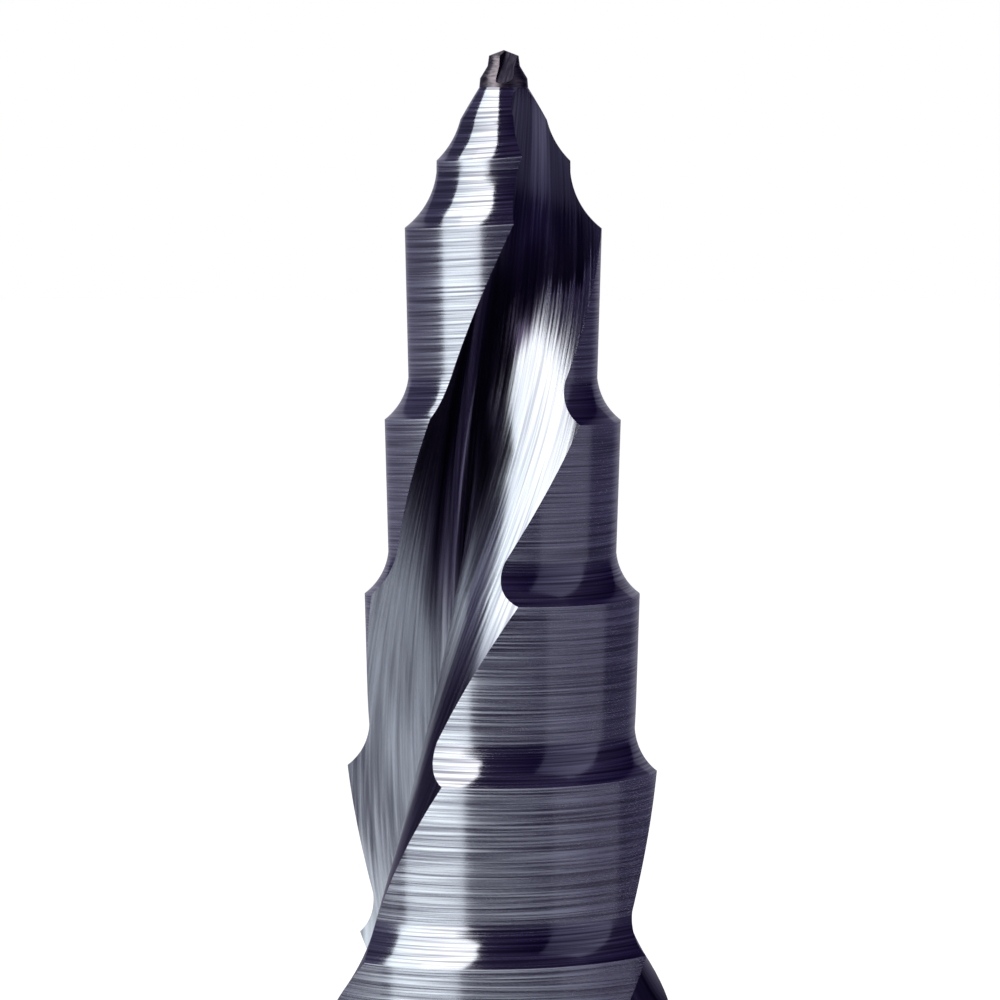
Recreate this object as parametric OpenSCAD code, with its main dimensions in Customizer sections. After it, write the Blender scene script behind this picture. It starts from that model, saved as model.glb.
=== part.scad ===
// A step drill bit: one solid bar of tool steel with six diameters, two spiral flutes and a plain shank.
// It stands on the end of its shank, with the axis on Z and the point up. All sizes are in millimetres.

/* [Shank] */

// Diameter of the plain round shank that a chuck grips
shank_d = 6; // [4:0.5:8]
// Length of the plain round shank
shank_l = 22; // [15:1:40]
// Width of the chamfer round the end of the shank
shank_chamfer = 0.4; // [0.1:0.1:1]

/* [Steps] */

// Diameter of the short pilot step under the point
pilot_d = 3.4; // [2.6:0.1:4]
// Diameter of the first full step
first_d = 5; // [4.5:0.25:7]
// Growth in diameter from each full step to the next
step_rise = 1; // [0.5:0.25:2]
// Number of full steps
step_count = 5; // [3:1:7]
// Distance from the tip down to the shoulder of the pilot step
pilot_drop = 2.65; // [2.4:0.05:4]
// Distance from the pilot's shoulder down to the shoulder of the first full step
first_drop = 1.7; // [1.5:0.05:4]
// Distance from the first full step's shoulder to the next one
first_step_h = 4.9; // [3.5:0.05:8]
// Distance from each later shoulder to the next one
step_h = 4.5; // [3:0.25:8]
// Length of the last step, from its shoulder to the back chamfer
last_step_h = 5.5; // [4:0.5:12]
// How far the radius of a step narrows from its shoulder to its lower end
back_taper = 0.1; // [0:0.02:0.16]

/* [Shoulders] */

// Radius of the hollow cove ground above each shoulder
cove_r = 1.5; // [1.3:0.1:3]
// Angle between the axis and the cove where it leaves the smaller step
cove_lead = 6; // [3:1:10]
// Radius of the two wider coves, at the pilot and at the first full step
pilot_cove_r = 1.9; // [1.4:0.1:3]
// Angle between the axis and the pilot's cove where it leaves the cone of the point
pilot_lead = 14; // [6:1:20]
// How far a shoulder has dropped a quarter turn behind its cutting lip
lip_relief = 0.16; // [0.05:0.01:0.25]

/* [Point] */

// Full angle of the blunt point
point_angle = 138; // [118:1:140]
// Diameter of the blunt point at its rim
point_d = 0.75; // [0.5:0.05:1.2]
// Diameter of the nose where the pilot's cone begins
nose_d = 1.24; // [1.1:0.02:1.6]
// Distance from the tip down to the start of the pilot's cone
nose_h = 0.95; // [0.7:0.05:1.4]
// Angle between the axis and the line along the bottom of the two gashes that split the point
gash_angle = 38; // [25:1:60]
// Distance of each gash's cutting face ahead of the centre
gash_offset = 0.06; // [0.03:0.01:0.12]
// Angle between a gash's cutting face and its floor
gash_floor = 105; // [90:1:120]
// Turn of the gashes about the axis
gash_turn = -25; // [-60:1:60]
// Distance from the tip down to where the gashes begin
gash_start = 0.04; // [0.02:0.01:0.1]

/* [Flutes] */

// Angle between the axis and the run of a flute
helix_angle = 23; // [15:0.5:35]
// Angle of the flute's mouth, seen along the axis
flute_opening = 79.5; // [60:0.5:95]
// Hook of the cutting face, measured from the line out to the lip
hook_angle = 18; // [5:1:25]
// Slope of the heel where the flute runs out to the land, at the first full step
front_heel_slope = 20; // [16:1:50]
// Slope of the heel farther back, where the flute is widest
back_heel_slope = 64; // [30:1:68]
// Number of the full step at whose shoulder the heel has reached its back slope
heel_step = 3; // [2:1:3]
// Length of the flat cutting face, as a share of the cone's radius
face_share = 0.57; // [0.4:0.01:0.62]
// Radius of the flute's root, as a share of the cone's radius
root_share = 0.12; // [0.08:0.01:0.2]
// Turn of the flutes about the axis, measured at the lip of the first full step
flute_turn = 6; // [0:1:90]
// Length over which the flutes rise out of the steel at the back
run_out = 7.5; // [4:0.5:10]

/* [Hidden] */

$fn = 96;

steel = [0.55, 0.56, 0.60];

// Depths are measured down from the tip. Step 0 is the pilot, steps 1 to step_count are the full ones.
first_depth = pilot_drop + first_drop;
function shoulder_r(i) = i == 0 ? pilot_d / 2 : (first_d + (i - 1) * step_rise) / 2;
function shoulder_depth(i) =
    i == 0 ? pilot_drop
    : i == 1 ? first_depth
    : first_depth + first_step_h + (i - 2) * step_h;

last_depth = shoulder_depth(step_count);
back_depth = last_depth + last_step_h;
body_r = shoulder_r(step_count) - back_taper;
shank_r = shank_d / 2;
neck_depth = back_depth + abs(body_r - shank_r);
overall_l = neck_depth + shank_l;

// The cone that touches the shoulders of the full steps. The flutes follow it.
cone_slope = (shoulder_r(step_count) - shoulder_r(1)) / (last_depth - first_depth);
function cone_r(depth) = shoulder_r(1) + cone_slope * (depth - first_depth);

// Where the pilot's own cone ends and its cove begins
pilot_cone_r = (pilot_d + nose_d) / 4 - 0.06;

// Radius of the steel just above shoulder i
function upper_r(i) = i == 0 ? pilot_cone_r : shoulder_r(i - 1) - (i == 1 ? 0 : back_taper);

// A cove is an arc that leaves the upper step at the lead angle and ends at the corner of the shoulder.
function arc_r(i) = i < 2 ? pilot_cove_r : cove_r;
function lead(i) = i == 0 ? pilot_lead : cove_lead;
function cove_end(i) = acos(cos(lead(i)) - (shoulder_r(i) - upper_r(i)) / arc_r(i));
function cove_centre(i) =
    [upper_r(i) + arc_r(i) * cos(lead(i)), shoulder_depth(i) - arc_r(i) * sin(cove_end(i))];

// Square blocks are left above the shoulders for the coves to be ground into.
function block_depth(i) =
    cove_centre(i)[1] + (i == 0 ? 1 : 0.5) * arc_r(i) * sin(lead(i));

// Angle of the helix frame about the axis at a depth: a constant helix angle on the cone
function turn(depth) =
    flute_turn - 90
    - tan(helix_angle) / cone_slope * ln(cone_r(depth) / cone_r(first_depth)) * 180 / PI;

// Section of one flute, drawn for a cone radius of 1 with the lip at [1, 0]
function along(a) = [cos(a), sin(a)];

face_in = along(180 + hook_angle);
face_end = [1, 0] + face_share * face_in;
root_centre = face_end + root_share * along(90 + hook_angle);
heel = along(flute_opening);

// The heel is steep at the front and lies back towards the land farther down.
function heel_slope(depth) =
    let (grown = (depth - first_depth) / (shoulder_depth(heel_step) - first_depth))
    front_heel_slope + (back_heel_slope - front_heel_slope) * min(max(grown, 0), 1);

// The back wall is an arc from the root to the heel. Its first heading is found by halving.
function root_point(a) = root_centre + root_share * along(a + 90);
function chord_heading(a) =
    let (v = heel - root_point(a)) atan2(v[1], v[0]);
function wall_start(heel_out, lo = 30, hi = 110, n = 24) =
    let (mid = (lo + hi) / 2)
    n == 0 ? mid
    : (mid + heel_out) / 2 > chord_heading(mid) ? wall_start(heel_out, lo, mid, n - 1)
    : wall_start(heel_out, mid, hi, n - 1);

face_steps = 5;
root_steps = 7;
wall_steps = 8;
reach = 0.4;

function section(depth) =
    let (
        heel_out = flute_opening + heel_slope(depth),
        wall_in = wall_start(heel_out),
        wall_turn = heel_out - wall_in,
        wall_r = norm(heel - root_point(wall_in)) / (2 * sin(wall_turn / 2)),
        wall_centre = root_point(wall_in) + wall_r * along(wall_in + 90)
    )
    concat(
        [[1, 0] - reach * face_in],
        [for (k = [0:face_steps]) [1, 0] + (face_share * k / face_steps) * face_in],
        [for (k = [1:root_steps])
            root_point(180 + hook_angle + (wall_in - 180 - hook_angle) * k / root_steps)],
        [for (k = [1:wall_steps])
            wall_centre + wall_r * along(wall_in + wall_turn * k / wall_steps - 90)],
        [heel + reach * along(heel_out),
         1.7 * along(flute_opening * 0.72),
         1.7 * along(flute_opening * 0.3)]
    );

// At the back the section grows away from the axis, as a grinding wheel does when it lifts out.
run_start = neck_depth - run_out;
web_share = norm(root_centre) - root_share;
run_scale = 1.12 * max(body_r, shank_r) / (web_share * cone_r(neck_depth));
function lift(depth) =
    depth < run_start ? 1
    : 1 + (run_scale - 1) * pow((depth - run_start) / run_out, 2);

// Rows of the flute follow each other at nearly equal turns.
flute_rows = 64;
row_top = -0.6;
function row_depth(k) =
    let (a = cone_r(row_top), b = cone_r(neck_depth + 0.3))
    first_depth + (a * pow(b / a, k / flute_rows) - shoulder_r(1)) / cone_slope;

// Modules

module lathe(points) {
    rotate_extrude()
        polygon([for (p = points) [p[0], overall_l - p[1]]]);
}

// The turned bar, with square blocks where the coves will be
module blank() {
    point_h = point_d / 2 / tan(point_angle / 2);
    lathe(concat(
        [[0, 0],
         [point_d / 2, point_h],
         [point_d / 2 + 0.035, point_h + 0.26],
         [nose_d / 2 - 0.02, nose_h - 0.23],
         [nose_d / 2, nose_h]],
        [for (i = [0:step_count])
            each [[upper_r(i), block_depth(i)],
                  [shoulder_r(i), block_depth(i)],
                  [shoulder_r(i), shoulder_depth(i)]]],
        [[body_r, back_depth],
         [shank_r, neck_depth],
         [shank_r, overall_l - shank_chamfer],
         [shank_r - shank_chamfer, overall_l],
         [0, overall_l]]
    ));
}

// One cove over one land: half a ring, tipped so that the shoulder falls away behind the lip
module half_cove(i) {
    r = shoulder_r(i);
    lip = turn(shoulder_depth(i));
    c = cove_centre(i);
    reach = c[0] + arc_r(i) + 1;
    translate([0, 0, overall_l - c[1]])
        intersection() {
            rotate(a = atan(lip_relief / r), v = [cos(lip), sin(lip), 0])
                rotate_extrude()
                    translate([c[0], 0])
                        circle(r = arc_r(i));
            rotate([0, 0, lip + flute_opening / 2])
                translate([-reach, -reach, -reach])
                    cube([2 * reach, reach, 2 * reach]);
        }
}

module coves() {
    for (i = [0:step_count], half = [0, 180])
        rotate([0, 0, half])
            half_cove(i);
}

// One flute: the section swept down the cone along the helix
module flute() {
    rows = [for (k = [0:flute_rows])
        let (d = row_depth(k), s = cone_r(d) * lift(d), t = turn(d))
        [for (p = section(d))
            [s * (p[0] * cos(t) - p[1] * sin(t)),
             s * (p[0] * sin(t) + p[1] * cos(t)),
             overall_l - d]]];
    n = len(rows[0]);
    polyhedron(
        points = [for (row = rows) each row],
        faces = concat(
            [[for (i = [0:n - 1]) i]],
            [for (k = [0:flute_rows - 1], i = [0:n - 1])
                let (j = (i + 1) % n, a = k * n, b = a + n)
                each [[a + i, b + i, b + j], [a + i, b + j, a + j]]],
            [[for (i = [n - 1:-1:0]) flute_rows * n + i]]
        )
    );
}

// One gash that splits the point: an upright cutting face and a floor, meeting along a line that slopes out
module gash() {
    rotate([0, 0, gash_turn - 90])
        translate([0, gash_offset, overall_l - gash_start])
            rotate([0, 180 - gash_angle, 0])
                translate([0, 0, -0.5])
                    linear_extrude(height = 3)
                        polygon([[0, 0], [-3, 0], [-3, 3], 3 * along(180 - gash_floor)]);
}

module step_drill() {
    color(steel)
        difference() {
            blank();
            coves();
            for (half = [0, 180])
                rotate([0, 0, half]) {
                    flute();
                    gash();
                }
        }
}

step_drill();
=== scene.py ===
# %% [markdown]
# # A step drill bit in ground and polished steel
#
# A step drill is turned from one bar of tool steel, then ground: a hollow cove above each shoulder,
# two spiral flutes, and two small gashes that split the point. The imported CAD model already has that
# shape. Polished steel shows every facet, though, so this lesson grinds the same tool once more as a
# much finer mesh, gives it exact surface normals, and then makes the finishes of the steel.

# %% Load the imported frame
import bmesh
import bpy
import math
import numpy as np
from mathutils import Euler, Matrix, Vector
from mathutils.bvhtree import BVHTree
from types import SimpleNamespace


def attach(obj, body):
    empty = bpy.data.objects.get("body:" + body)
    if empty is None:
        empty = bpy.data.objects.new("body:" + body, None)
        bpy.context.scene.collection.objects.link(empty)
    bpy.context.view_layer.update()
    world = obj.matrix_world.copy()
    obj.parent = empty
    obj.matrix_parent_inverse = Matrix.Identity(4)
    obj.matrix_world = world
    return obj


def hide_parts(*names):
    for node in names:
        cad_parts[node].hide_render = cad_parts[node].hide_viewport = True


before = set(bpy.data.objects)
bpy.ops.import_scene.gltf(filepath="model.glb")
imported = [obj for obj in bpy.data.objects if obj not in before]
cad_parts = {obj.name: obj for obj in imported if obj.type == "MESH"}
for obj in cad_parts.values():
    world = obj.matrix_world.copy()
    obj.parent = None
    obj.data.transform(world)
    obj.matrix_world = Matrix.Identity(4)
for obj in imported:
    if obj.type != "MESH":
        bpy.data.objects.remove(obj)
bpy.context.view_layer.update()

# %% [markdown]
# ## The tool's sizes
#
# The sizes are the same named values that the CAD source uses, in millimetres and degrees. Every depth
# is measured down from the tip, because that is where the photograph is sharpest and where a toolmaker
# measures from. The shank stands on the floor at zero height.

# %% Sizes of the shank, the steps and the coves
MM = 0.001
shank_d = 6.0
shank_l = 22.0
shank_chamfer = 0.4
pilot_d = 3.4
first_d = 5.0
step_rise = 1.0
step_count = 5
pilot_drop = 2.65
first_drop = 1.7
first_step_h = 4.9
step_h = 4.5
last_step_h = 5.5
back_taper = 0.1
cove_r = 1.5
cove_lead = 6.0
pilot_cove_r = 1.9
pilot_lead = 14.0
lip_relief = 0.16
print("full steps:", [first_d + i * step_rise for i in range(step_count)], "mm across")

# %% Sizes of the point and the flutes
point_angle = 138.0
point_d = 0.75
nose_d = 1.24
nose_h = 0.95
gash_angle = 38.0
gash_offset = 0.06
gash_floor = 105.0
gash_turn = -25.0
gash_start = 0.04
helix_angle = 23.0
flute_opening = 79.5
hook_angle = 18.0
front_heel_slope = 20.0
back_heel_slope = 64.0
heel_step = 3
face_share = 0.57
root_share = 0.12
flute_turn = 6.0
run_out = 7.5
print("flutes wind round at", helix_angle, "degrees to the axis")

# %% [markdown]
# ## Radii and depths along the tool
#
# A step drill is easiest to describe by its shoulders: each has a radius and a depth, and everything
# else hangs on them. The depths could be one long list, but a small function keeps them tied to the
# sizes. Shoulder 0 is the pilot's, and the full steps count from 1. The flutes follow the cone that
# touches the shoulders of the full steps.

# %% Shoulders, and the cone that touches them
first_depth = pilot_drop + first_drop
last_depth = first_depth + first_step_h + (step_count - 2) * step_h
back_depth = last_depth + last_step_h


def shoulder_r(i):
    return pilot_d / 2 if i == 0 else (first_d + (i - 1) * step_rise) / 2


def shoulder_depth(i):
    if i == 0:
        return pilot_drop
    return first_depth if i == 1 else first_depth + first_step_h + (i - 2) * step_h


body_r = shoulder_r(step_count) - back_taper
shank_r = shank_d / 2
neck_depth = back_depth + abs(body_r - shank_r)
overall_l = neck_depth + shank_l
cone_slope = (shoulder_r(step_count) - shoulder_r(1)) / (last_depth - first_depth)


def cone_r(depth):
    return shoulder_r(1) + cone_slope * (depth - first_depth)


print("length", round(overall_l, 2), "mm, shoulders at",
      [round(shoulder_depth(i), 2) for i in range(step_count + 1)])

# %% [markdown]
# ## Profile of the turned bar
#
# A turned part is a profile spun round its axis. Each point of the profile is a radius and a depth. A
# cove is an arc that leaves the smaller step almost along the axis and ends in the sharp corner of the
# next shoulder. One long outline would do for the shape, but a list of runs says more: inside a run the
# surface is smooth, and where two runs meet the edge is sharp.

# %% Arc of one cove
cove_steps = 14
pilot_cone_in = 0.06
pilot_cone_r = (pilot_d + nose_d) / 4 - pilot_cone_in


def upper_r(i):
    """Radius of the steel just above shoulder i, where its cove begins."""
    return pilot_cone_r if i == 0 else shoulder_r(i - 1) - (0 if i == 1 else back_taper)


def cove_points(i):
    radius = pilot_cove_r if i < 2 else cove_r
    lead = math.radians(pilot_lead if i == 0 else cove_lead)
    end = math.acos(math.cos(lead) - (shoulder_r(i) - upper_r(i)) / radius)
    centre_r = upper_r(i) + radius * math.cos(lead)
    centre_depth = shoulder_depth(i) - radius * math.sin(end)
    angles = np.linspace(lead, end, cove_steps)
    return [(centre_r - radius * math.cos(a), centre_depth + radius * math.sin(a)) for a in angles]


print("cove of the last shoulder begins", round(last_depth - cove_points(step_count)[0][1], 2),
      "mm above it")


# %% Runs of the profile, from the tip down
def straight(a, b, steps):
    return [tuple(np.array(a) + (np.array(b) - np.array(a)) * k / steps) for k in range(steps + 1)]


point_h = point_d / 2 / math.tan(math.radians(point_angle / 2))
collar_out, collar_h = 0.035, 0.26
swell_in, swell_h = 0.02, 0.23
rim = (point_d / 2, point_h)
collar = (point_d / 2 + collar_out, point_h + collar_h)
swell = (nose_d / 2 - swell_in, nose_h - swell_h)
start = (nose_d / 2, nose_h)
runs = [straight((0, 0), rim, 4), straight(rim, collar, 2), straight(collar, swell, 2),
        straight(swell, start, 2)]
nose_runs = len(runs)
for i in range(step_count + 1):
    cove = cove_points(i)
    land_steps = 1 if i == 1 else 8
    runs.append(straight(start, cove[0], land_steps)[:-1] + cove)
    start = (shoulder_r(i), shoulder_depth(i))
corners = [start, (body_r, back_depth), (shank_r, neck_depth), (shank_r, overall_l - shank_chamfer),
           (shank_r - shank_chamfer, overall_l), (0, overall_l)]
for upper, lower, steps in zip(corners, corners[1:], (16, 3, 24, 2, 3)):
    runs.append(straight(upper, lower, steps))
print(len(runs), "runs,", sum(len(run) for run in runs), "profile points")

# %% [markdown]
# ## The bar, with shoulders that fall away behind each lip
#
# A step only cuts if its shoulder drops a little behind the cutting lip. The bar could be spun as a
# plain revolve, but then the shoulders would be level all round. Here the cove points of each column
# slide down by the relief at that angle, and spring back in the middle of a flute, where the steel is
# cut away later. Every point carries a texture position too, in millimetres: the distance round the
# land and the depth along it, so that grinding lines can follow the relief.

# %% Where the lips run, and how far the shoulders drop behind them
helix = math.tan(math.radians(helix_angle))


def turn(depth):
    """Angle of the cutting lip about the axis, in radians, for a constant helix angle on the cone."""
    grown = np.log(np.asarray(cone_r(np.asarray(depth, float))) / cone_r(first_depth))
    return math.radians(flute_turn - 90) - helix / cone_slope * grown


def behind_lip(angle, depth):
    half_mouth = math.radians(flute_opening / 2)
    return (turn(depth) - angle + half_mouth) % math.pi - half_mouth


def shoulder_drop(i, radius, angle):
    if i < 0:
        return 0 * angle
    return lip_relief * radius / shoulder_r(i) * np.sin(behind_lip(angle, shoulder_depth(i)))


print("lips turn", round(float(np.degrees(turn(pilot_drop) - turn(back_depth)))), "degrees in all")

# %% Spin the runs
columns = 288
texture_least_r = 0.8


def spin(run, step):
    """Grid of the run that ends in shoulder number step. The nose lies below 0, the back above the last."""
    radii, depths = np.array(run).T
    angle = np.linspace(0, 2 * math.pi, columns + 1)[:, None]
    drop = np.zeros((columns + 1, len(run)))
    if step <= step_count:
        cove_start = len(run) - cove_steps if step >= 0 else len(run)
        share = np.clip(np.arange(len(run)) / max(cove_start, 1), 0, 1)
        drop = shoulder_drop(step - 1, shoulder_r(max(step - 1, 0)), angle) * (1 - share)
        if step >= 0:
            drop = drop + shoulder_drop(step, radii[None, :], angle) * share
    elif step == step_count + 1:
        fading = np.clip(1 - (depths - depths[0]), 0, 1)
        drop = shoulder_drop(step_count, shoulder_r(step_count), angle) * fading
    where = np.stack([radii * np.cos(angle), radii * np.sin(angle), overall_l - depths - drop], -1)
    across = behind_lip(angle, depths[None, :]) * np.maximum(radii, texture_least_r)
    return where, np.stack([across, depths + 0 * across], -1)


bar_grids = [spin(run, k - nose_runs) for k, run in enumerate(runs)]
print("bar:", columns, "columns by", sum(where.shape[1] for where, _ in bar_grids), "rings")

# %% [markdown]
# ## One flute, swept along the helix
#
# A flute is ground by a wheel whose edge has one section: a straight cutting face, a small root radius,
# and an arc that rises to the heel. It could be modelled by twisting a revolved cutter, but a swept
# section gives the true lip and heel lines. The section is drawn for a cone radius of 1 with the lip at
# (1, 0), then each row is scaled by the cone and turned along the helix. The heel is steep at the front
# and lies back farther down, as the light on the photographed wall shows.


# %% Fixed points of the flute's section
def along(degrees):
    a = math.radians(degrees)
    return np.array([math.cos(a), math.sin(a)])


lip = np.array([1.0, 0.0])
face_in = along(180 + hook_angle)
face_end = lip + face_share * face_in
root_centre = face_end + root_share * along(90 + hook_angle)
heel = along(flute_opening)


def root_point(heading):
    return root_centre + root_share * along(heading + 90)


print("root centre at", root_centre.round(3), "of the cone's radius")

# %% [markdown]
# ## The section at a depth
#
# The back wall is an arc that leaves the root in line with it and reaches the heel at the heel's slope.
# An arc turns by equal amounts on both sides of its chord, so the heading where it leaves the root is
# found by halving a range until the chord lies midway. Both ends of the section reach a little past the
# steel, so that the cut is clean.

# %% Section of the flute
reach = 0.4
halvings = 30
end_steps, face_steps, root_steps, wall_steps = 4, 8, 14, 20


def wall_heading(heel_out):
    """Heading in degrees at which the back wall leaves the root."""
    low, high = 30.0, 110.0
    for _ in range(halvings):
        middle = (low + high) / 2
        chord = heel - root_point(middle)
        past_chord = (middle + heel_out) / 2 > math.degrees(math.atan2(chord[1], chord[0]))
        low, high = (low, middle) if past_chord else (middle, high)
    return low


def flute_section(depth):
    grown = min(max((depth - first_depth) / (shoulder_depth(heel_step) - first_depth), 0.0), 1.0)
    heel_out = flute_opening + front_heel_slope + (back_heel_slope - front_heel_slope) * grown
    heading = wall_heading(heel_out)
    wall_turn = heel_out - heading
    wall_r = np.linalg.norm(heel - root_point(heading)) / (2 * math.sin(math.radians(wall_turn / 2)))
    wall_centre = root_point(heading) + wall_r * along(heading + 90)
    face_out = 180 + hook_angle
    root_turn = heading - 180 - hook_angle
    return np.array(
        [lip - reach * face_in * k / end_steps for k in range(end_steps, 0, -1)]
        + [lip + face_share * face_in * k / face_steps for k in range(face_steps)]
        + [root_point(face_out + root_turn * k / root_steps) for k in range(root_steps)]
        + [wall_centre + wall_r * along(heading + wall_turn * k / wall_steps - 90)
           for k in range(wall_steps)]
        + [heel + reach * along(heel_out) * k / end_steps for k in range(end_steps + 1)])


print("flute section:", len(flute_section(first_depth)), "points")

# %% [markdown]
# ## Rows of the flute
#
# The rows follow each other at nearly equal turns, so they are spaced by the logarithm of the cone's
# radius. At the back the section grows away from the axis, as the wheel does when it lifts out of the
# steel. The texture position of a point is its distance across the section and its distance along the
# helix. A plain back closes the cutter outside the steel.

# %% Sweep the section down the cone
flute_rows = 220
above_tip, below_neck = 0.6, 0.3
clear_of_body = 1.12
web_share = np.linalg.norm(root_centre) - root_share
run_start = neck_depth - run_out
run_scale = clear_of_body * max(body_r, shank_r) / (web_share * cone_r(neck_depth))
top_r = cone_r(-above_tip)
end_r = cone_r(neck_depth + below_neck)
row_r = top_r * (end_r / top_r) ** np.linspace(0, 1, flute_rows + 1)
row_depth = first_depth + (row_r - shoulder_r(1)) / cone_slope


def sweep(sections, half_turn):
    depth = row_depth[:, None]
    lift = 1 + (run_scale - 1) * (np.clip(depth - run_start, 0, None) / run_out) ** 2
    size = cone_r(depth) * lift
    angle = turn(depth) + half_turn
    x, y = sections[..., 0], sections[..., 1]
    where = np.stack([size * (x * np.cos(angle) - y * np.sin(angle)),
                      size * (x * np.sin(angle) + y * np.cos(angle)),
                      overall_l - depth + 0 * x], -1)
    steps = np.linalg.norm(np.diff(sections[flute_rows // 2], axis=0), axis=1)
    across = np.concatenate([[0], np.cumsum(steps)])[None, :] * cone_r(last_depth / 2) + 0 * depth
    return where, np.stack([across, depth / math.cos(math.radians(helix_angle)) + 0 * x], -1)


outer_r = 1.7
back_turns = (0.72, 0.3)
ground = np.array([flute_section(depth) for depth in row_depth])
outside = np.array([[section[-1], *(outer_r * along(flute_opening * t) for t in back_turns), section[0]]
                    for section in ground])
print("flute:", len(row_depth), "rows, down to", round(float(row_depth[-1]), 2), "mm from the tip")

# %% [markdown]
# ## Shaping tools as meshes that remember their surfaces
#
# Cutting is a boolean: bar minus flutes minus gashes. A boolean leaves long thin triangles along each
# cut, and ordinary smooth shading goes blotchy there, which polished steel shows at once. So each grid
# is kept as a patch, with its own exact normals and texture positions. After the cut, every corner of
# every face looks up the patch it came from, and takes the normal and the texture position from there.

# %% Patches and their faces
patches = []


def add_patch(where, texture, inward):
    along_rows, along_points = np.gradient(where, axis=0), np.gradient(where, axis=1)
    normal = np.cross(along_rows, along_points)
    size = np.linalg.norm(normal, axis=-1, keepdims=True)
    normal = normal / np.maximum(size, 1e-12)
    patches.append({"where": where, "texture": texture, "normal": -normal if inward else normal})
    return len(patches) - 1


def grid_faces(rows, points, first):
    corner = first + np.arange(rows * points).reshape(rows, points)
    quads = np.stack([corner[:-1, :-1], corner[1:, :-1], corner[1:, 1:], corner[:-1, 1:]], -1)
    return quads.reshape(-1, 4)


bar_pieces = [(add_patch(where, texture, True), where) for where, texture in bar_grids]
print("patches of the bar:", len(patches))

# %% [markdown]
# ## From grids to closed meshes
#
# A boolean needs closed meshes. Each tool is a few grids, and flat caps where they leave an opening.
# Where they meet they have the same points twice, so welding points less than a hundredth of a micron
# apart closes the mesh. Every face keeps the number of its patch, which the boolean passes on.


# %% Weld grids and caps
def new_object(name, data):
    item = bpy.data.objects.new(name, data)
    bpy.context.scene.collection.objects.link(item)
    return item


def closed_mesh(name, pieces, caps=()):
    """Joins grids (patch number, points) and flat caps into one closed mesh, welded where they meet."""
    points, faces, source = [], [], []
    for number, where in pieces:
        first = sum(len(p) for p in points)
        quads = grid_faces(where.shape[0], where.shape[1], first)
        points.append(where.reshape(-1, 3))
        faces += quads.tolist()
        source += [number] * len(quads)
    for number, ring in caps:
        first = sum(len(p) for p in points)
        points.append(np.array(ring))
        faces.append([first + k for k in range(len(ring))])
        source.append(number)
    mesh = bpy.data.meshes.new(name)
    mesh.from_pydata(np.concatenate(points).tolist(), [], faces)
    mesh.attributes.new("patch", "INT", "FACE").data.foreach_set("value", source)
    weld = bmesh.new()
    weld.from_mesh(mesh)
    bmesh.ops.remove_doubles(weld, verts=weld.verts, dist=1e-5)
    bmesh.ops.dissolve_degenerate(weld, dist=1e-6, edges=weld.edges)
    bmesh.ops.recalc_face_normals(weld, faces=weld.faces)
    open_edges = sum(1 for edge in weld.edges if not edge.is_manifold)
    weld.to_mesh(mesh)
    weld.free()
    print(name, len(mesh.polygons), "faces,", open_edges, "open edges")
    return new_object(name, mesh)


bar = closed_mesh("bar", bar_pieces)

# %% Two flute cutters, half a turn apart
no_patch = -1
cutters = []
for half_turn in (0.0, math.pi):
    where, texture = sweep(ground, half_turn)
    number = add_patch(where, texture, False)
    back, _ = sweep(outside, half_turn)
    caps = [(no_patch, np.concatenate([where[k], back[k][1:-1]])) for k in (0, -1)]
    cutters.append(closed_mesh("flute_cutter", [(number, where), (no_patch, back)], caps))

# %% [markdown]
# ## The two gashes that split the point
#
# A plain cone doesn't cut at its centre. Two gashes, ground with the corner of a small wheel, thin the
# web there and leave a short straight edge. They could be drawn into the faces of the point, but a cut
# gives their true edges. Each is made by a prism with an upright cutting face and a floor. The line
# where the two meet slopes out and down from just beside the centre.

# %% Gash cutters
gash_reach = 3.0
gash_back = 0.5
side_points = 5
side_steps = np.linspace(0, 1, side_points)[:, None, None]
gash_outline = [(0, 0), (-gash_reach, 0), (-gash_reach, gash_reach),
                tuple(gash_reach * along(180 - gash_floor))]
side_texture = np.stack(np.meshgrid(np.linspace(0, gash_reach, side_points), [0.0, gash_reach],
                                    indexing="ij"), -1)
for half_turn in (0.0, 180.0):
    turned = Matrix.Rotation(math.radians(gash_turn - 90 + half_turn), 4, "Z")
    shade_lifted = Matrix.Translation((0, gash_offset, overall_l - gash_start))
    tipped = Matrix.Rotation(math.radians(180 - gash_angle), 4, "Y")
    place = turned @ shade_lifted @ tipped @ Matrix.Translation((0, 0, -gash_back))
    low_ring, high_ring = [[np.array(place @ Vector((x, y, z))) for x, y in gash_outline]
                           for z in (0, gash_reach)]
    sides = []
    for k in range(len(gash_outline)):
        after = (k + 1) % len(gash_outline)
        low_edge = np.array([[low_ring[k], low_ring[after]]])
        high_edge = np.array([[high_ring[k], high_ring[after]]])
        grid = low_edge * (1 - side_steps) + high_edge * side_steps
        sides.append((add_patch(grid, side_texture, False), grid))
    cutters.append(closed_mesh("gash_cutter", sides, [(no_patch, low_ring), (no_patch, high_ring)]))

# %% [markdown]
# ## Cut the steel, and restore its surfaces
#
# The manifold solver is fast and exact enough for closed meshes. After it, the nearest spot of the
# right patch gives each corner its normal: the spot's place inside its triangle is written as three
# shares, and the same shares blend the normals and texture positions of the triangle's corners.

# %% Cut the flutes and the gashes
for cutter in cutters:
    cut = bar.modifiers.new("cut", "BOOLEAN")
    cut.operation, cut.solver, cut.object = "DIFFERENCE", "MANIFOLD", cutter
cut_bar = bar.evaluated_get(bpy.context.evaluated_depsgraph_get())
drill_mesh = bpy.data.meshes.new_from_object(cut_bar)
drill_mesh.name = "drill"
print("after cutting:", len(drill_mesh.polygons), "faces")

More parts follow.
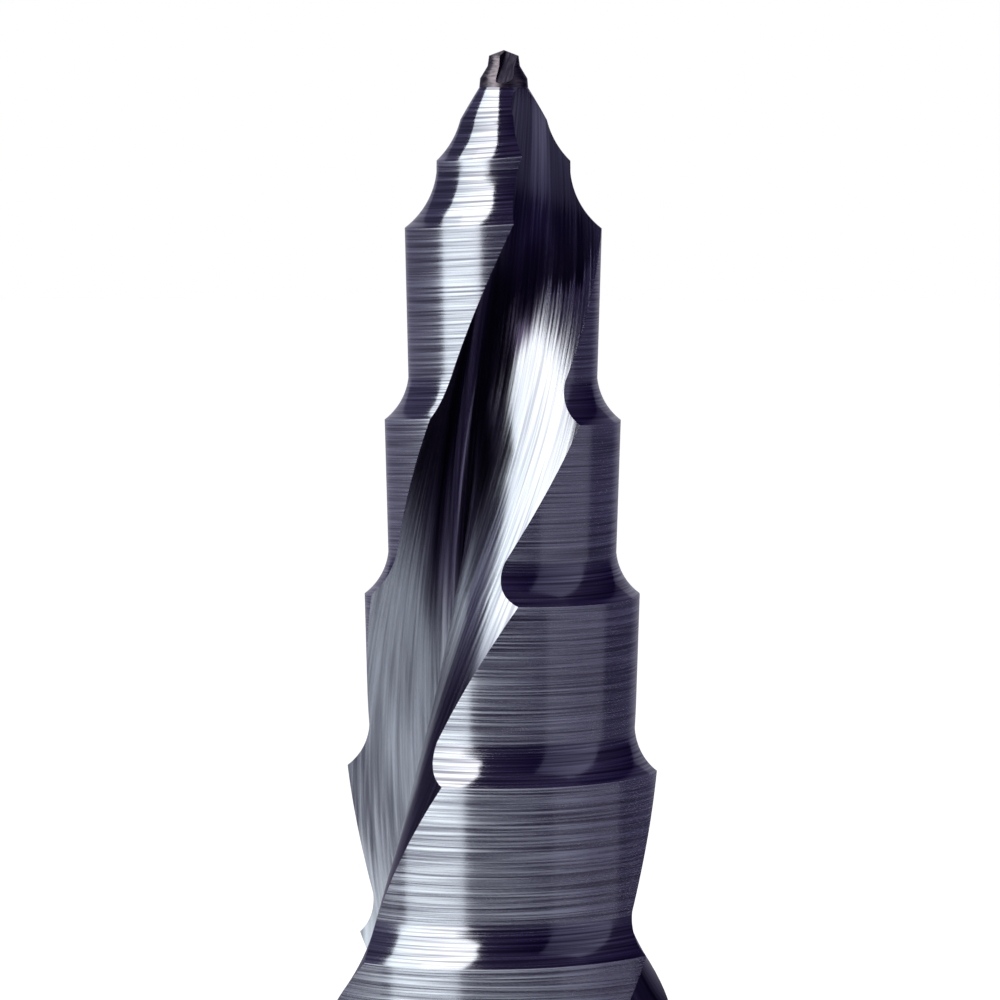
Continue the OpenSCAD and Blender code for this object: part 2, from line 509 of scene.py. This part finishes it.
# %% Look up a spot of a patch
patch_tree = []
for patch in patches:
    rows, points = patch["where"].shape[:2]
    quads = grid_faces(rows, points, 0)
    triangles = np.concatenate([quads[:, [0, 1, 2]], quads[:, [0, 2, 3]]])
    tree = BVHTree.FromPolygons(patch["where"].reshape(-1, 3).tolist(), triangles.tolist())
    patch_tree.append((tree, triangles))


def read_patch(number, point):
    """Normal and texture position of a patch at the spot nearest to a point."""
    tree, triangles = patch_tree[number]
    spot, _, index, _ = tree.find_nearest(point)
    patch, corners = patches[number], triangles[index]
    a, b, c = patch["where"].reshape(-1, 3)[corners]
    u, v, w = b - a, c - a, np.array(spot) - a
    uu, uv, vv, wu, wv = u @ u, u @ v, v @ v, w @ u, w @ v
    room = uu * vv - uv * uv
    share = np.array([0.0, vv * wu - uv * wv, uu * wv - uv * wu]) / (room if room > 1e-18 else 1.0)
    share[0] = 1 - share[1] - share[2]
    normal = share @ patch["normal"].reshape(-1, 3)[corners]
    return normal / max(np.linalg.norm(normal), 1e-9), share @ patch["texture"].reshape(-1, 2)[corners]


print("triangles to search:", sum(len(triangles) for _, triangles in patch_tree))

# %% Give every corner its exact normal and texture position
least_agreement = 0.2
source = np.zeros(len(drill_mesh.polygons), np.int32)
drill_mesh.attributes["patch"].data.foreach_get("value", source)
corner_vertex = np.zeros(len(drill_mesh.loops), np.int32)
drill_mesh.loops.foreach_get("vertex_index", corner_vertex)
spots = np.zeros(len(drill_mesh.vertices) * 3)
drill_mesh.vertices.foreach_get("co", spots)
spots = spots.reshape(-1, 3)
normals, texture, known = [], [], {}
for face in drill_mesh.polygons:
    number = int(source[face.index])
    for corner in face.loop_indices:
        vertex = int(corner_vertex[corner])
        if (number, vertex) not in known:
            known[number, vertex] = read_patch(number, spots[vertex])
        normal, place = known[number, vertex]
        if normal @ np.array(face.normal) < least_agreement:
            normal = np.array(face.normal)
        normals.append(normal)
        texture.append(place)
print("corners:", len(normals), "looked up:", len(known), "patches:", sorted(set(source.tolist())))

# %% [markdown]
# ## The finished drill
#
# The mesh was cut in millimetres, because tiny numbers harm a boolean, and becomes metres here. The
# coves are polished smoother than the lands, so each corner also carries a mask that says how far it
# belongs to a cove. Under the point only the coves of the bar look up, so the upward part of the normal
# is enough to tell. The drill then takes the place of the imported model's plain solid.

# %% Hand the mesh to the frame
cove_from, cove_over = 0.1, 0.35
spots *= MM
drill_mesh.vertices.foreach_set("co", spots.ravel())
drill_mesh.update()
drill_mesh.polygons.foreach_set("use_smooth", np.ones(len(drill_mesh.polygons), bool))
drill_mesh.normals_split_custom_set([tuple(n) for n in normals])
upward = np.clip((np.array(normals)[:, 2] - cove_from) / cove_over, 0, 1)
drill_mesh.attributes.new("cove", "FLOAT", "CORNER").data.foreach_set("value", upward.astype(np.float32))
grinding = drill_mesh.uv_layers.new(name="grinding")
grinding.data.foreach_set("uv", np.array(texture, np.float32).ravel())
drill = new_object("drill", drill_mesh)
for tool in [bar] + cutters:
    bpy.data.objects.remove(tool)
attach(drill, "root")
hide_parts("step_drill")
print("drill:", len(drill_mesh.vertices), "points,", len(drill_mesh.polygons), "faces")

# %% [markdown]
# ## Camera
#
# The photograph is a close-up with a long lens: the tool stands upright, the lens is level with the
# point and looks slightly down, and the frame cuts the tool off under the fifth step. The place and
# the lens come from fitting the shoulders' widths and the curve of their edges.

# %% Camera of the photograph
pixels_per_mm = 39.4
picture_width = 1000
camera_distance = 190.0
tip_to_lens = 0.6
tip_to_aim = 11.42
camera_roll = 0.17
pitch = math.atan2(tip_to_aim - tip_to_lens, camera_distance)
lens = bpy.data.cameras.new("camera")
camera = new_object("camera", lens)
camera.location = (0, -camera_distance * MM, (overall_l - tip_to_lens) * MM)
tilt = Euler((math.pi / 2 - pitch, 0, 0)).to_matrix() @ Matrix.Rotation(math.radians(camera_roll), 3, "Z")
camera.rotation_euler = tilt.to_euler()
lens.sensor_width = 36
lens.lens = lens.sensor_width * pixels_per_mm * camera_distance / picture_width
lens.shift_x = -0.0025
lens.clip_start = 0.001
bpy.context.scene.camera = camera
print("lens", round(lens.lens, 1), "mm, pitch", round(math.degrees(pitch), 2), "degrees")

# %% [markdown]
# ## Helpers for shader nodes
#
# A material is a small network of nodes. Building it by hand in the node editor is the usual way, and
# these helpers do the same in one line each: add a node, feed a socket with a link or a plain value, or
# do a sum.


# %% Node helpers
def add_node(tree, kind, **settings):
    node = tree.nodes.new(kind)
    for name, value in settings.items():
        setattr(node, name, value)
    return node


def feed(tree, value, socket):
    """Feeds a socket from another socket, or sets it to a plain value."""
    if isinstance(value, bpy.types.NodeSocket):
        tree.links.new(value, socket)
    else:
        socket.default_value = value


def math_node(tree, operation, a, b=0.0, clamp=False):
    node = add_node(tree, "ShaderNodeMath", operation=operation, use_clamp=clamp)
    feed(tree, a, node.inputs[0])
    feed(tree, b, node.inputs[1])
    return node.outputs[0]


def seen_directly(tree):
    """1 for camera, glossy and transmission rays."""
    rays = add_node(tree, "ShaderNodeLightPath")
    direct = math_node(tree, "ADD", rays.outputs["Is Camera Ray"], rays.outputs["Is Glossy Ray"], True)
    return math_node(tree, "ADD", direct, rays.outputs["Is Transmission Ray"], True)


print("white is for camera, glossy and transmission rays")

# %% [markdown]
# ## Floor and white background
#
# The photograph's background is pure white. More light would wash out the steel, so the floor and the
# world reach white only for the camera, for reflections and for rays through glass; the light that
# falls on the tool stays plain.

# %% White world
scene = bpy.context.scene
scene.view_settings.view_transform = "Standard"
room_light = 0.55
world = bpy.data.worlds.new("studio")
scene.world = world
world.use_nodes = True
sky = world.node_tree
background = sky.nodes["Background"]
background.inputs["Color"].default_value = (1, 1, 1, 1)
level = math_node(sky, "MULTIPLY_ADD", seen_directly(sky), 1 - room_light)
level.node.inputs[2].default_value = room_light
sky.links.new(level, background.inputs["Strength"])
print("world: strength", room_light, "on the tool, 1 to the camera")

# %% White paper floor
half = 1.5
floor_glow = 0.5
floor_mesh = bpy.data.meshes.new("floor")
floor_corners = [(-half, -half, 0), (half, -half, 0), (half, half, 0), (-half, half, 0)]
floor_mesh.from_pydata(floor_corners, [], [(0, 1, 2, 3)])
floor = new_object("floor", floor_mesh)
paper = bpy.data.materials.new("white paper")
paper.use_nodes = True
tree = paper.node_tree
sheet = tree.nodes["Principled BSDF"]
sheet.inputs["Base Color"].default_value = (0.88, 0.88, 0.88, 1)
sheet.inputs["Roughness"].default_value = 0.9
sheet.inputs["Specular IOR Level"].default_value = 0.1
sheet.inputs["Emission Color"].default_value = (1, 1, 1, 1)
glow = math_node(tree, "MULTIPLY", seen_directly(tree), floor_glow)
tree.links.new(glow, sheet.inputs["Emission Strength"])
floor_mesh.materials.append(paper)
print("floor:", 2 * half, "m wide")

# %% [markdown]
# ## One wide lamp
#
# The lamp gives the floor its soft shadow. It stands high to the left, on the side of the brightest
# reflection. Reflections don't show it, because the cards of the next step draw those.

# %% Window lamp
window_size = 0.35
lamp_data = bpy.data.lights.new("window", "AREA")
lamp_data.shape = "RECTANGLE"
lamp_data.size = window_size
lamp_data.size_y = window_size
lamp_data.energy = 1.6
lamp = new_object("window", lamp_data)
lamp.location = (-0.32, -0.32, 0.42)
lamp_aim = Vector((0, 0, 0.02))
lamp.rotation_euler = (lamp_aim - lamp.location).to_track_quat("-Z", "Y").to_euler()
lamp.visible_glossy = False
print("lamp:", round(lamp_data.energy, 2), "W from", round(lamp.location.length, 2), "m")

# %% [markdown]
# ## Cards that the steel reflects
#
# Polished metal has almost no colour of its own: it shows the room. Photographers stand white and dark
# cards round such a tool to draw its form, and the photograph shows which ones were there. Each card
# here is a curved sheet given by its bearing from the camera and its height as seen from the tool, with
# one glow at its left edge and another at its right. The Mix node that blends them has many sockets of
# one name, so its colour sockets are reached by number. Only reflections see the cards: they throw no
# shadow on the floor and the camera looks through them.

# %% Blend two colours
mix_first, mix_second, mix_result = 6, 7, 2


def blended(tree, share, first, second, **settings):
    """Colour between two others, each a socket or a colour."""
    node = add_node(tree, "ShaderNodeMix", data_type="RGBA", **settings)
    feed(tree, share, node.inputs[0])
    for socket, colour in ((node.inputs[mix_first], first), (node.inputs[mix_second], second)):
        feed(tree, (*colour, 1) if isinstance(colour, tuple) else colour, socket)
    return node.outputs[mix_result]


print("colour sockets of the Mix node:", mix_first, "and", mix_second, "in,", mix_result, "out")

# %% Lay a card through a grid of points
card_steps = 24
cards = []


def lay_card(name, where, left_glow, right_glow):
    """A glowing sheet through a grid of points."""
    mesh = bpy.data.meshes.new(name)
    faces = grid_faces(card_steps + 1, card_steps + 1, 0)
    mesh.from_pydata(where.reshape(-1, 3).tolist(), [], faces.tolist())
    corner = np.zeros(len(mesh.loops), np.int32)
    mesh.loops.foreach_get("vertex_index", corner)
    spread = np.stack([corner % (card_steps + 1), corner // (card_steps + 1)], -1) / card_steps
    mesh.uv_layers.new(name="spread").data.foreach_set("uv", spread.astype(np.float32).ravel())
    finish = bpy.data.materials.new(name)
    finish.use_nodes = True
    tree = finish.node_tree
    surface = tree.nodes["Principled BSDF"]
    surface.inputs["Base Color"].default_value = (0, 0, 0, 1)
    surface.inputs["Specular IOR Level"].default_value = 0
    surface.inputs["Emission Strength"].default_value = 1.0
    place = add_node(tree, "ShaderNodeUVMap", uv_map="spread")
    split = add_node(tree, "ShaderNodeSeparateXYZ")
    tree.links.new(place.outputs["UV"], split.inputs[0])
    glow = blended(tree, split.outputs["X"], left_glow, right_glow)
    tree.links.new(glow, surface.inputs["Emission Color"])
    mesh.materials.append(finish)
    sheet = new_object(name, mesh)
    sheet.visible_camera = sheet.visible_diffuse = sheet.visible_shadow = False
    sheet.visible_transmission = False
    cards.append(sheet)


print("a card has", card_steps ** 2, "faces")

# %% Stand a card by its bearings and heights
card_distance = 0.155
eye_height = 0.040


def card(name, left, right, left_glow, right_glow, distance=card_distance):
    """A card between a left and a right edge, each a list of (height, bearing) in degrees."""
    heights = np.linspace(left[0][0], left[-1][0], card_steps + 1)
    begin = np.interp(heights, [p[0] for p in left], [p[1] for p in left])
    end = np.interp(heights, [p[0] for p in right], [p[1] for p in right])
    share = np.linspace(0, 1, card_steps + 1)
    bearing = np.radians(begin[:, None] * (1 - share) + end[:, None] * share)
    height = np.radians(heights)[:, None] + 0 * bearing
    where = distance * np.stack([np.sin(bearing) * np.cos(height), -np.cos(bearing) * np.cos(height),
                                 np.sin(height)], -1) + np.array([0, 0, eye_height])
    lay_card(name, where, left_glow, right_glow)


def upright(bearing, low, high):
    return [(low, bearing), (high, bearing)]


print("cards stand", card_distance, "m from the tool")

# %% [markdown]
# ## Colours of the cards
#
# The photograph gives the colour that the steel shows, not the card's own. Ground steel returns about
# half of the light, so each card has to glow twice as bright as its image. The photograph's colours go
# from violet black through blue grey to white, and the cards use those few tones over and over.


# %% Glow of each tone
def shown(red, green, blue):
    """Light of a card that the ground steel shows as this colour, each part from 0 to 255."""
    steel_share = 0.5
    screen_power = 2.2
    return tuple((part / 255) ** screen_power / steel_share for part in (red, green, blue))


white = shown(248, 251, 255)
pale = shown(208, 218, 226)
cloud = shown(170, 177, 184)
limb = shown(112, 111, 122)
thin_cloud = shown(84, 88, 102)
haze = shown(82, 81, 97)
dusk = shown(72, 71, 89)
shade = shown(53, 51, 70)
dim = shown(39, 34, 55)
night = shown(22, 17, 40)
print("white card glows", [round(part, 2) for part in white])

# %% [markdown]
# ## Standing cards
#
# The long white highlight down the lands is a softbox to the left of the camera. Its two edges aren't
# upright: the coves look up at a slant and show the same box wider, so its edges are drawn as bearings
# at several heights, read from the highlight's edges on the coves. Dark cards beside it make the edges
# crisp, and lighter ones behind the tool draw its outline against the white background.

# %% Softbox and the cards beside it
box_left = [(2, -80), (20, -84), (30, -90), (42, -104), (50, -150), (60, -160)]
box_right = [(2, -24), (14, -25), (20, -37), (30, -25), (40, -18), (48, -24), (60, -27)]
front_end, side, rear, behind, left_rear = 38, 90, 138, 180, -150
low, limb_high, left_high, ceiling_low, high, top = 2, 20, box_left[-2][0], 58, 60, 90
ceiling_gap = 0.004
card("softbox", box_left, box_right, pale, white)
card("front", box_right, upright(front_end, low, high), dim, night)
card("right", upright(front_end, low, high), upright(side, low, high), shade, dusk)
card("right_dark", upright(side, low, high), upright(rear, low, high), dim, night)
card("right_limb", upright(rear, low, limb_high), upright(behind, low, limb_high), shade, limb)
card("right_limb_high", upright(rear, limb_high, high), upright(behind, limb_high, high), dim, dusk)
card("left", upright(left_rear, low, left_high), box_left[:-1], shade, shade)
card("left_limb", upright(-behind, low, high), upright(left_rear, low, high), limb, haze)
card("ceiling", upright(-behind, ceiling_low, top), upright(behind, ceiling_low, top), dim, dim,
     card_distance + ceiling_gap)
print("standing cards:", len(cards))

# %% [markdown]
# ## The softbox runs on overhead
#
# Near the shoulders the coves show what is almost straight overhead, and the white there ends along an
# upright line in the photograph. So the box goes on overhead with a straight inner edge. Seen from the
# tool, the bearing of a straight edge swings away as the height grows.

# %% Overhead part of the softbox
edge_share = 0.23


def box_edge(height):
    """Bearing of the straight edge, in degrees to either side of the line through the camera."""
    return math.degrees(math.asin(min(edge_share / math.cos(math.radians(height)), 1)))


over = [60, 63, 66, 69, 72, 74, 76, 76.7]
far_edge = [(height, box_edge(height) - 180) for height in over]
near_edge = [(height, -box_edge(height)) for height in over]
card("overhead", far_edge, near_edge, white, white)
print("overhead from", over[0], "to", over[-1], "degrees up")

# %% [markdown]
# ## Low cards round the edge of the table
#
# Where the steel looks slightly downwards it would show the white floor and look washed out. A low ring
# of cards continues the standing ones below the tool's middle, and ends where the table's cards begin.

# %% Low cards
low_end = -14
low_box_left, low_box_right, low_side = -75, -27, 96
for name, begin, end, left_glow, right_glow in (
        ("low_left_limb", -behind, left_rear, limb, haze),
        ("low_left", left_rear, low_box_left, haze, haze),
        ("low_box", low_box_left, low_box_right, pale, pale),
        ("low_front", low_box_right, front_end, shade, shade),
        ("low_right", front_end, low_side, haze, haze),
        ("low_dark", low_side, rear, shade, shade),
        ("low_right_limb", rear, behind, shade, limb)):
    card(name, upright(begin, low_end, low), upright(end, low_end, low), left_glow, right_glow)
print("cards so far:", len(cards))

# %% [markdown]
# ## Cards that lie on the table
#
# The flute's back wall looks down and would show the white floor. In the photograph it shows a soft grey
# cloud with a dark front, so the table is laid with rings of card round the shank. The front ones have
# a grey near part and a dark far part. They start just clear of the shank and lie just above the floor.

# %% Table cards
card_lift = 0.0008
shank_gap = 0.2
shank_clear = (shank_d / 2 + shank_gap) * MM


def table_card(name, bearings, radii, left_glow, right_glow):
    bearing = np.radians(np.linspace(*bearings, card_steps + 1))[None, :]
    ring = np.linspace(*radii, card_steps + 1)[:, None]
    height = card_lift + 0 * ring * bearing
    where = np.stack([ring * np.sin(bearing), -ring * np.cos(bearing), height], -1)
    lay_card(name, where, left_glow, right_glow)


for name, begin, end, cloud_end, right_glow in (
        ("table_front", -84, -44, 0.106, cloud),
        ("table_middle", -44, 5, 0.089, cloud),
        ("table_right", 5, 70, 0.084, thin_cloud)):
    table_card(name, (begin, end), (shank_clear, cloud_end), cloud, right_glow)
    table_card(name + "_far", (begin, end), (cloud_end, card_distance), dusk, shade)
whole = (shank_clear, card_distance)
table_card("table_left", (-145, -84), whole, shade, cloud)
table_card("table_side", (70, 110), whole, dim, night)
table_card("table_back", (110, 215), whole, dim, dim)
print("all cards:", len(cards))

# %% [markdown]
# ## Grinding lines
#
# The lands carry fine lines round the tool, left by the grinding wheel; the flutes carry streaks that
# follow the helix. Both are the same effect with other values: a noise stretched along the direction
# of grinding. So it is one node group, fed by the texture positions that the mesh carries. A painted
# picture could give the same lines, but it would blur close up, and noise never does.


# %% Node group: grinding lines
def grinding_place(tree):
    """The two parts of the texture position: across the steel, and along it."""
    place = add_node(tree, "ShaderNodeUVMap", uv_map="grinding")
    split = add_node(tree, "ShaderNodeSeparateXYZ")
    tree.links.new(place.outputs["UV"], split.inputs[0])
    return split.outputs["X"], split.outputs["Y"]


lines = bpy.data.node_groups.new("grinding lines", "ShaderNodeTree")
for name, value in (("Across Length", 3.0), ("Along Spacing", 0.08), ("Seed", 0.0)):
    socket = lines.interface.new_socket(name, in_out="INPUT", socket_type="NodeSocketFloat")
    socket.default_value = value
for name in ("Height", "Streak"):
    lines.interface.new_socket(name, in_out="OUTPUT", socket_type="NodeSocketFloat")
given = add_node(lines, "NodeGroupInput")
result = add_node(lines, "NodeGroupOutput")
across, along_it = grinding_place(lines)
across_lengths = math_node(lines, "DIVIDE", across, given.outputs["Across Length"])
along_spacings = math_node(lines, "DIVIDE", along_it, given.outputs["Along Spacing"])


def stretched_noise(across_scale, along_scale, detail, shift):
    joined = add_node(lines, "ShaderNodeCombineXYZ")
    parts = (math_node(lines, "MULTIPLY", across_lengths, across_scale),
             math_node(lines, "MULTIPLY", along_spacings, along_scale),
             math_node(lines, "ADD", given.outputs["Seed"], shift))
    for part, socket in zip(parts, joined.inputs):
        lines.links.new(part, socket)
    noise = add_node(lines, "ShaderNodeTexNoise")
    noise.inputs["Scale"].default_value = 1.0
    noise.inputs["Detail"].default_value = detail
    noise.inputs["Roughness"].default_value = 0.6
    lines.links.new(joined.outputs[0], noise.inputs["Vector"])
    return noise.outputs["Fac"]


fine = stretched_noise(across_scale=1.0, along_scale=1.0, detail=1.5, shift=0.0)
broad = stretched_noise(across_scale=0.6, along_scale=0.25, detail=1.0, shift=7.3)
broad_share = 0.8
height = math_node(lines, "ADD", fine, math_node(lines, "MULTIPLY", broad, broad_share))
lines.links.new(height, result.inputs["Height"])
streak = add_node(lines, "ShaderNodeMapRange")
streak.inputs["From Min"].default_value = 0.35
streak.inputs["From Max"].default_value = 0.68
lines.links.new(fine, streak.inputs["Value"])
lines.links.new(streak.outputs[0], result.inputs["Streak"])
print("group outputs:", [socket.name for socket in result.inputs if socket.name])

# %% [markdown]
# ## A ground steel
#
# Every surface of the drill is bare steel, and the surfaces differ only in how coarsely and in which
# direction they were ground. So one function makes a material from a few values: the length and the
# spacing of the lines, their height in millimetres, and the dullest and the brightest tone between
# them. Fine grooves also stretch reflections across their direction, and the anisotropic part of the
# Principled shader does that, with the texture position as its guide.


# %% Steel with grinding lines
def steel(name, across, spacing, bump, roughness, dark, light, anisotropy, rotation=0.25):
    """A ground steel: its material, and the sockets that a finish may go on from."""
    finish = bpy.data.materials.new(name)
    finish.use_nodes = True
    tree = finish.node_tree
    surface = tree.nodes["Principled BSDF"]
    surface.inputs["Metallic"].default_value = 1.0
    surface.inputs["Anisotropic"].default_value = anisotropy
    surface.inputs["Anisotropic Rotation"].default_value = rotation
    grind = add_node(tree, "ShaderNodeGroup", node_tree=lines)
    grind.inputs["Across Length"].default_value = across
    grind.inputs["Along Spacing"].default_value = spacing
    colour = blended(tree, grind.outputs["Streak"], dark, light)
    tree.links.new(colour, surface.inputs["Base Color"])
    rough = add_node(tree, "ShaderNodeMapRange")
    rough.inputs["To Min"].default_value, rough.inputs["To Max"].default_value = roughness
    tree.links.new(grind.outputs["Streak"], rough.inputs["Value"])
    tree.links.new(rough.outputs[0], surface.inputs["Roughness"])
    relief = add_node(tree, "ShaderNodeBump")
    relief.inputs["Strength"].default_value = 1.0
    relief.inputs["Distance"].default_value = bump * MM
    tree.links.new(grind.outputs["Height"], relief.inputs["Height"])
    tree.links.new(relief.outputs[0], surface.inputs["Normal"])
    tangent = add_node(tree, "ShaderNodeTangent", direction_type="UV_MAP", uv_map="grinding")
    tree.links.new(tangent.outputs[0], surface.inputs["Tangent"])
    return SimpleNamespace(finish=finish, tree=tree, inputs=surface.inputs, colour=colour,
                           rough=rough.outputs[0], relief=relief, streak=grind.outputs["Streak"])


print("group in use:", lines.name)

# %% [markdown]
# ## Finish of the lands
#
# The lands have fine lines round the tool, 0.06 mm apart. The coves above the shoulders are polished
# smoother, which the cove mask does. Each shoulder's edge is rubbed bright by work, and a painted
# highlight along it, a thin line of lighter steel, stands in for the glint of the edge and makes the
# steps look sharp. An effect that looks for sharp edges would light up the flutes' edges too, so the
# line is a mask made of the distance to the nearest shoulder.


# %% Land steel
def faded(tree, value, between, levels):
    """Smooth step from the first level to the second, as the value passes between two others."""
    node = add_node(tree, "ShaderNodeMapRange", interpolation_type="SMOOTHSTEP")
    for name, number in zip(("From Min", "From Max", "To Min", "To Max"), (*between, *levels)):
        node.inputs[name].default_value = number
    tree.links.new(value, node.inputs["Value"])
    return node.outputs[0]


cove_relief, cove_rough = 0.35, 0.55
worn_glint_width, worn_glint_shift = 0.035, 0.6
worn_glint_colour, worn_glint_share, worn_glint_rough = (0.95, 0.95, 0.97), 0.8, 0.5
land = steel("ground land", across=5.0, spacing=0.06, bump=0.004, roughness=(0.16, 0.34),
             dark=(0.24, 0.23, 0.26), light=(0.86, 0.87, 0.89), anisotropy=0.7)
tree = land.tree
cove_mask = add_node(tree, "ShaderNodeAttribute", attribute_type="GEOMETRY", attribute_name="cove")
in_cove = cove_mask.outputs["Fac"]
tree.links.new(faded(tree, in_cove, (0, 1), (1, cove_relief)), land.relief.inputs["Strength"])

_, land_depth = grinding_place(tree)
# A thin bright line along each shoulder: wear, and a painted highlight for the glint of the edge.
worn_glint = 0.0
for i in range(step_count + 1):
    below = math_node(tree, "SUBTRACT", land_depth, shoulder_depth(i) + worn_glint_shift * worn_glint_width)
    line = faded(tree, math_node(tree, "ABSOLUTE", below), (0, worn_glint_width), (1, 0))
    worn_glint = math_node(tree, "MAXIMUM", worn_glint, line)
rubbed_glint = math_node(tree, "MULTIPLY", worn_glint, worn_glint_share)
tree.links.new(blended(tree, rubbed_glint, land.colour, worn_glint_colour), land.inputs["Base Color"])
smoother = math_node(tree, "MULTIPLY", land.rough, faded(tree, in_cove, (0, 1), (1, cove_rough)))
rough = math_node(tree, "MAXIMUM", smoother, math_node(tree, "MULTIPLY", worn_glint, worn_glint_rough))
tree.links.new(rough, land.inputs["Roughness"])
print("worn lines:", step_count + 1)

# %% [markdown]
# ## Finish of the flutes
#
# Streaks follow the helix, fine across it and long along it. In the photograph the front of the flute
# is much darker than its heel side, and the dark part ends in ragged fingers where the streaks begin.
# The cards alone don't give that, so painted shade does it: a darker colour, with a mask in the flute's
# own terms, that stands in for the flute's self-shadowing and its dark reflections. Share is how far
# round the section a point lies, from 0.4 at the lip through 1.1 in the root to 2.3 at the heel. Depth
# is the distance down from the tip in millimetres, and the streaks make it ragged.

# %% Flute steel, and its places
flute = steel("ground flute", across=0.09, spacing=4.0, bump=0.0035, roughness=(0.12, 0.25),
              dark=(0.42, 0.42, 0.45), light=(0.84, 0.85, 0.87), anisotropy=0.6, rotation=0.0)
tree = flute.tree
across, along_helix = grinding_place(tree)
share = math_node(tree, "DIVIDE", across, cone_r(last_depth / 2))
depth = math_node(tree, "MULTIPLY", along_helix, math.cos(math.radians(helix_angle)))
ragged = math_node(tree, "ADD", depth, flute.streak)
print("shares are measured at a cone radius of", round(cone_r(last_depth / 2), 2), "mm")

# %% [markdown]
# ## How far the painted shade reaches
#
# The edge of the painted shade is a share that changes with the depth. It starts close to the heel, so
# the bright part begins at about 6 mm and widens from the heel's side, and a notch narrows it again at
# the second full step. The painted shade then fades out towards the back, a little later in the root,
# and it is weaker near the point.

# %% Painted shade on the front of the flute
edge_depths, edge_shares = (5.4, 10.9), (1.85, 1.32)
start_depths, start_rise = (5.6, 6.9), 0.4
notch_depths, notch_rise = (9.7, 10.9), 0.28
edge_softness = (-0.08, 0.1)
root_starts, root_ends, root_delay = (0.86, 1.0), (1.2, 1.35), 3.0
fade_depths = (9.5, 14.5)
near_point, near_point_shade_level = (4.4, 6.0), 0.68
# Painted shade: where the darker front of the flute ends, as a share that changes with the depth.
edge = faded(tree, ragged, edge_depths, edge_shares)
edge = math_node(tree, "ADD", edge, faded(tree, ragged, start_depths, (start_rise, 0)))
edge = math_node(tree, "ADD", edge, faded(tree, ragged, notch_depths, (0, notch_rise)))
inside = faded(tree, math_node(tree, "SUBTRACT", share, edge), edge_softness, (1, 0))
delay = math_node(tree, "MULTIPLY", faded(tree, share, root_starts, (0, root_delay)),
                  faded(tree, share, root_ends, (1, 0)))
front = faded(tree, math_node(tree, "SUBTRACT", depth, delay), fade_depths, (1, 0))
front = math_node(tree, "MULTIPLY", front, faded(tree, depth, near_point, (near_point_shade_level, 1)))
print("dark front fades between", fade_depths, "mm from the tip")

# %% [markdown]
# ## A faint streak, and painted shade by the heel
#
# One faint streak runs down the upper flute, where the painted shade is lifted along a line of equal
# share. At the back the wall is painted dark once more beside the heel, painted shade for a dark
# reflection there. The two painted dark parts meet in one mask, which multiplies the steel's colour by a
# deep violet.

# %% Painted shade of the flute
streak_share, streak_width, streak_ends, streak_shade_level = 1.65, (0.03, 0.17), (4.0, 5.2), 0.1
heel_shares, heel_depths, heel_shade_level = (1.5, 1.85), (13.5, 16.5), 0.9
painted_shade_violet = (0.15, 0.12, 0.19)
# The painted shade is lifted along one line of equal share, so a faint lighter streak shows.
off_streak = math_node(tree, "ABSOLUTE", math_node(tree, "SUBTRACT", share, streak_share))
shade_lifted = math_node(tree, "MAXIMUM", faded(tree, off_streak, streak_width, (streak_shade_level, 1)),
                   faded(tree, depth, streak_ends, (0, 1)))
front = math_node(tree, "MULTIPLY", front, shade_lifted)
# Painted shade beside the heel, at the back of the flute.
heel_painted_shade = math_node(tree, "MULTIPLY", faded(tree, share, heel_shares, (0, 1)),
                      faded(tree, depth, heel_depths, (0, heel_shade_level)))
# Mask of the painted shade, and the steel's colour multiplied by its violet.
painted_shade = math_node(tree, "MAXIMUM", math_node(tree, "MULTIPLY", inside, front), heel_painted_shade)
painted_shade_colour = blended(tree, painted_shade, flute.colour, painted_shade_violet, blend_type="MULTIPLY")
tree.links.new(painted_shade_colour, flute.inputs["Base Color"])
print("flute steel has", len(tree.nodes), "nodes")

# %% [markdown]
# ## Finish of the point
#
# The point does the hardest work. In the photograph it is browner and duller than the rest, and its
# gashes look almost black; the gash steel is made nearly black, painted shade in these small recesses.
# It could share the land steel with a mask, but two small materials of their own are plainer. Each face
# still knows its patch, which chooses between the four finishes.

# %% Point steel, gash steel, and which face has which
point = steel("ground point", across=0.4, spacing=0.05, bump=0.004, roughness=(0.30, 0.42),
              dark=(0.13, 0.11, 0.12), light=(0.34, 0.28, 0.29), anisotropy=0.3)
# Nearly black gash steel: painted shade in the recesses of the gashes.
gash = steel("ground gash", across=0.4, spacing=0.05, bump=0.004, roughness=(0.34, 0.48),
             dark=(0.05, 0.04, 0.06), light=(0.13, 0.11, 0.15), anisotropy=0.3)
drill_mesh.materials.clear()
for kind in (land, flute, point, gash):
    drill_mesh.materials.append(kind.finish)
on_land, on_flute, on_point, on_gash = range(4)
first_flute = len(bar_pieces)
first_gash = first_flute + 2
slot = np.where(source >= first_flute, on_flute, np.where(source < nose_runs, on_point, on_land))
slot = np.where(source >= first_gash, on_gash, slot)
drill_mesh.polygons.foreach_set("material_index", slot.astype(np.int32))
drill_mesh.update()
print("faces of land, flute, point and gash:", np.bincount(slot).tolist())
